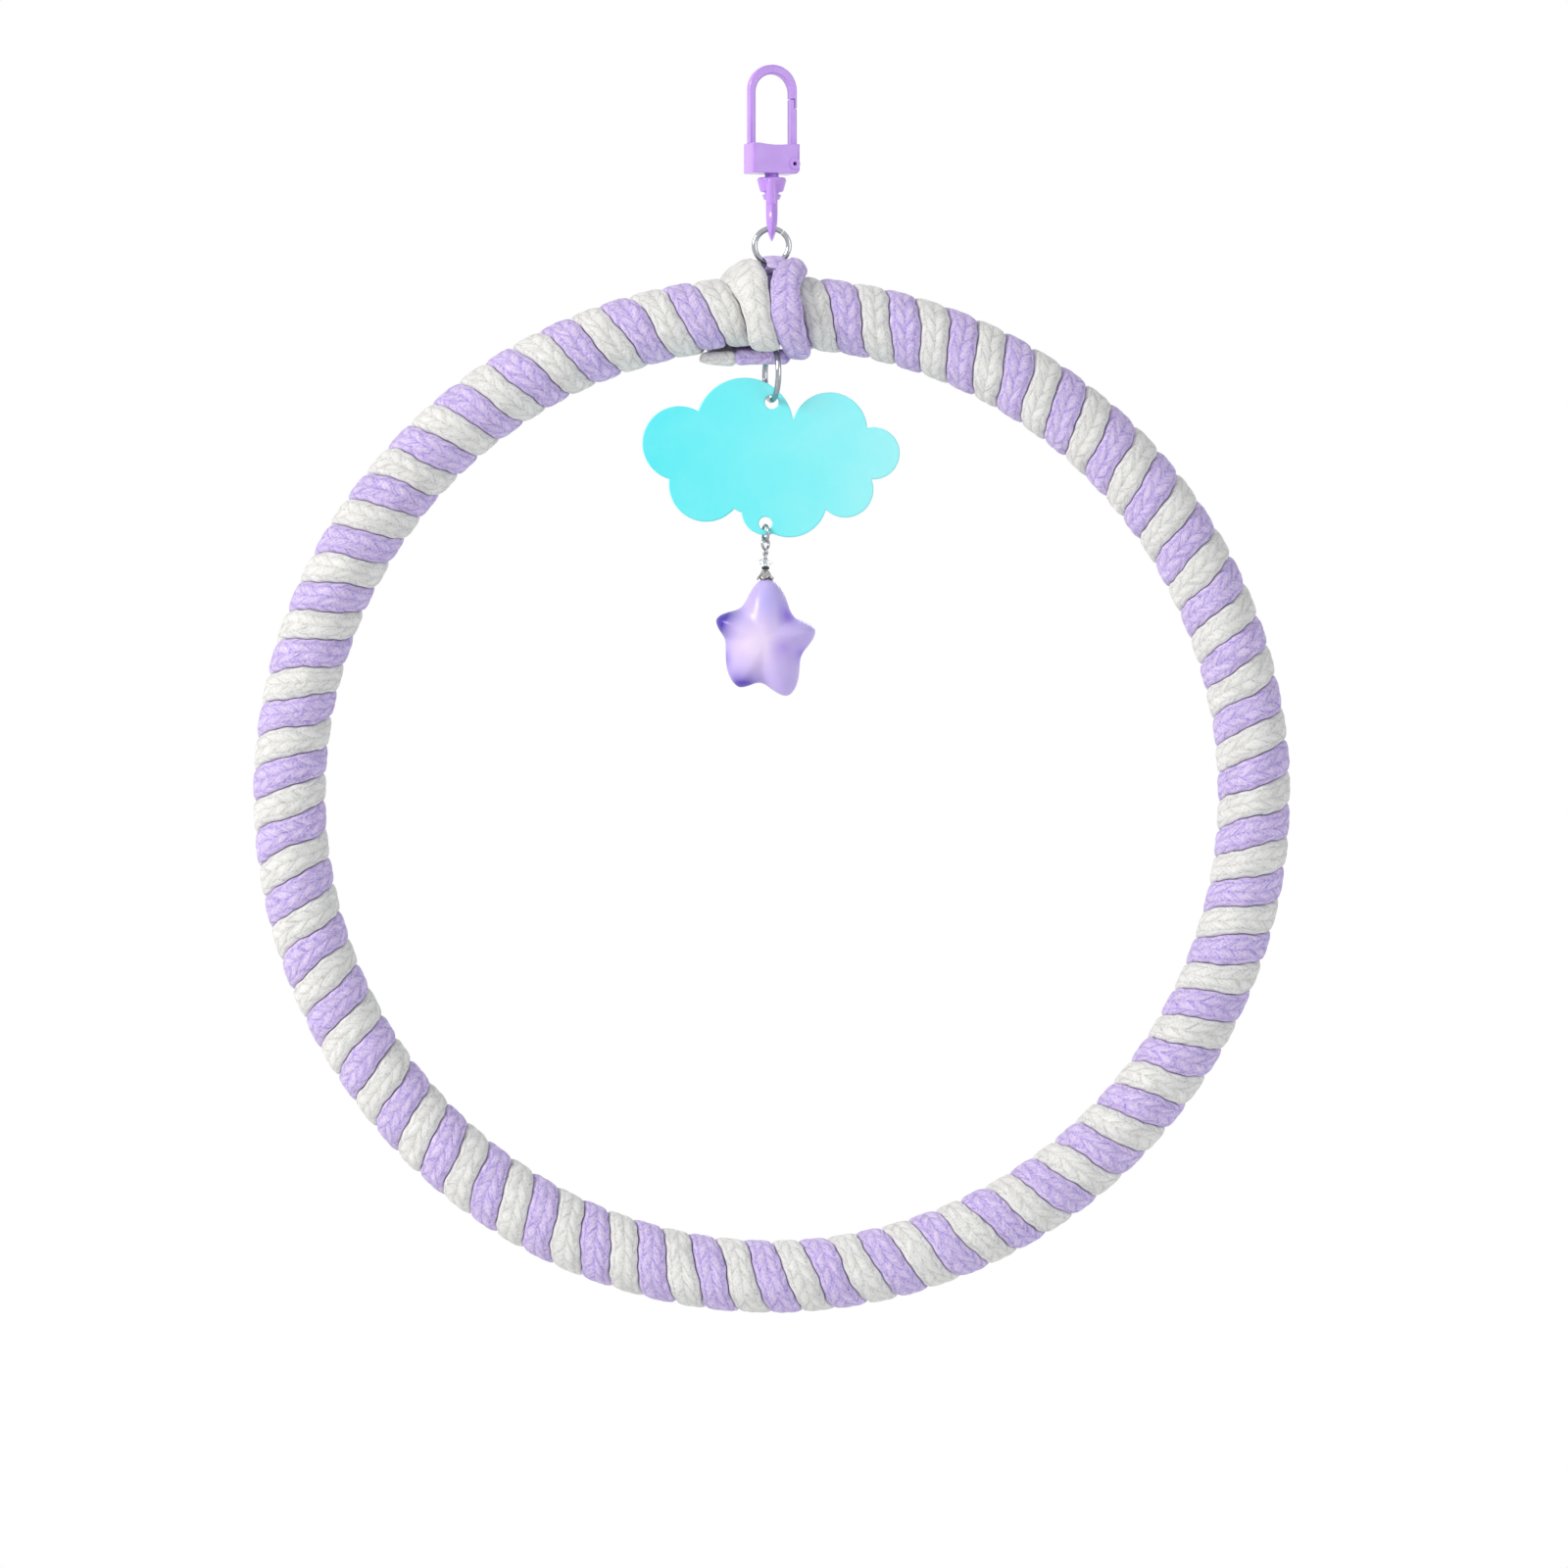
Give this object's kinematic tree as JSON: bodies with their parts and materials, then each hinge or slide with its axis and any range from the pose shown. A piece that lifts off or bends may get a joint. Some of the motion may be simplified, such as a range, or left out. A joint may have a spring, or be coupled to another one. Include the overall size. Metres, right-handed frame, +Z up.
{
  "type": "bird swing",
  "caption": "Round cord-wound perch hoop on a swivel clasp, with a cloud charm and a star drop hanging inside.",
  "frame": {"origin": "centre of the clasp's half-round crown, where the hook of a cage bears", "axes": "+Z up along the plumb line, +X to the right as seen from the front, +Y to the back"},
  "size_m": [0.2106, 0.0222, 0.2542],
  "materials": {
    "clasp_paint": "gloss lilac paint",
    "spring_steel": "bright spring wire",
    "ring_steel": "bright plated wire",
    "rod_steel": "plain drawn rod",
    "white_cotton": "braided cotton, off-white",
    "lilac_cotton": "braided cotton, lilac",
    "cloud_acrylic": "frosted cyan sheet",
    "clear_bead": "clear cut glass",
    "dark_bead": "dark polished spacer",
    "cap_silver": "antique silver plating",
    "star_resin": "pearly lilac gloss"
  },
  "bodies": {
    "clasp": {"clasp_body": "clasp_paint", "gate_rivet": "clasp_paint", "gate_spring": "spring_steel"},
    "gate": {"clasp_gate": "clasp_paint"},
    "swivel": {"swivel_eye": "clasp_paint"},
    "top_link": {"top_ring": "ring_steel"},
    "hoop": {"hoop_core": "rod_steel", "white_cord": "white_cotton", "lilac_cord": "lilac_cotton", "white_binding": "white_cotton", "lilac_binding": "lilac_cotton", "white_tail": "white_cotton", "lilac_tail": "lilac_cotton"},
    "lower_link": {"lower_ring": "ring_steel"},
    "cloud_charm": {"cloud": "cloud_acrylic"},
    "small_link": {"small_ring": "ring_steel"},
    "star_drop": {"star_pin": "ring_steel", "bead_cap": "cap_silver", "star": "star_resin"},
    "crystal": {"crystal_bead": "clear_bead"},
    "spacer": {"spacer_bead": "dark_bead"}
  },
  "joints": [
    {"name": "gate_pivot", "type": "hinge", "parent": "clasp", "child": "gate", "pos_m": [0.00365, 0.00148, -0.0145], "axis": [0.3746, -0.9272, 0], "range_deg": [0, 25], "stiffness_Nm_per_rad": 0.05, "springref_deg": -11.46, "deforming": ["gate_spring"]},
    {"name": "swivel_spin", "type": "hinge", "parent": "clasp", "child": "swivel", "pos_m": [0, 0, -0.0165], "axis": [0, 0, 1], "continuous": true},
    {"name": "top_ring_swing", "type": "hinge", "parent": "swivel", "child": "top_link", "pos_m": [0, 0, -0.0293], "axis": [0, 1, 0], "range_deg": [-45, 45]},
    {"name": "hoop_swing", "type": "hinge", "parent": "top_link", "child": "hoop", "pos_m": [0, 0, -0.03465], "axis": [1, 0, 0], "range_deg": [-45, 45]},
    {"name": "lower_ring_swing", "type": "hinge", "parent": "hoop", "child": "lower_link", "pos_m": [0, 0, -0.05399], "axis": [0.9659, 0.2588, 0], "range_deg": [-20, 20]},
    {"name": "cloud_rock", "type": "hinge", "parent": "lower_link", "child": "cloud_charm", "pos_m": [0, 0, -0.06269], "axis": [0, 1, 0], "range_deg": [-12, 12]},
    {"name": "small_ring_swing", "type": "hinge", "parent": "cloud_charm", "child": "small_link", "pos_m": [-0.00127, 0, -0.08815], "axis": [0, 1, 0], "range_deg": [-20, 20]},
    {"name": "drop_swing", "type": "hinge", "parent": "small_link", "child": "star_drop", "pos_m": [-0.00127, 0, -0.08985], "axis": [0.9397, 0.342, 0], "range_deg": [-30, 30]},
    {"name": "crystal_spin", "type": "hinge", "parent": "star_drop", "child": "crystal", "pos_m": [-0.00127, 0, -0.0957], "axis": [0, 0, 1], "continuous": true},
    {"name": "spacer_spin", "type": "hinge", "parent": "star_drop", "child": "spacer", "pos_m": [-0.00127, 0, -0.0969], "axis": [0, 0, 1], "continuous": true}
  ]
}
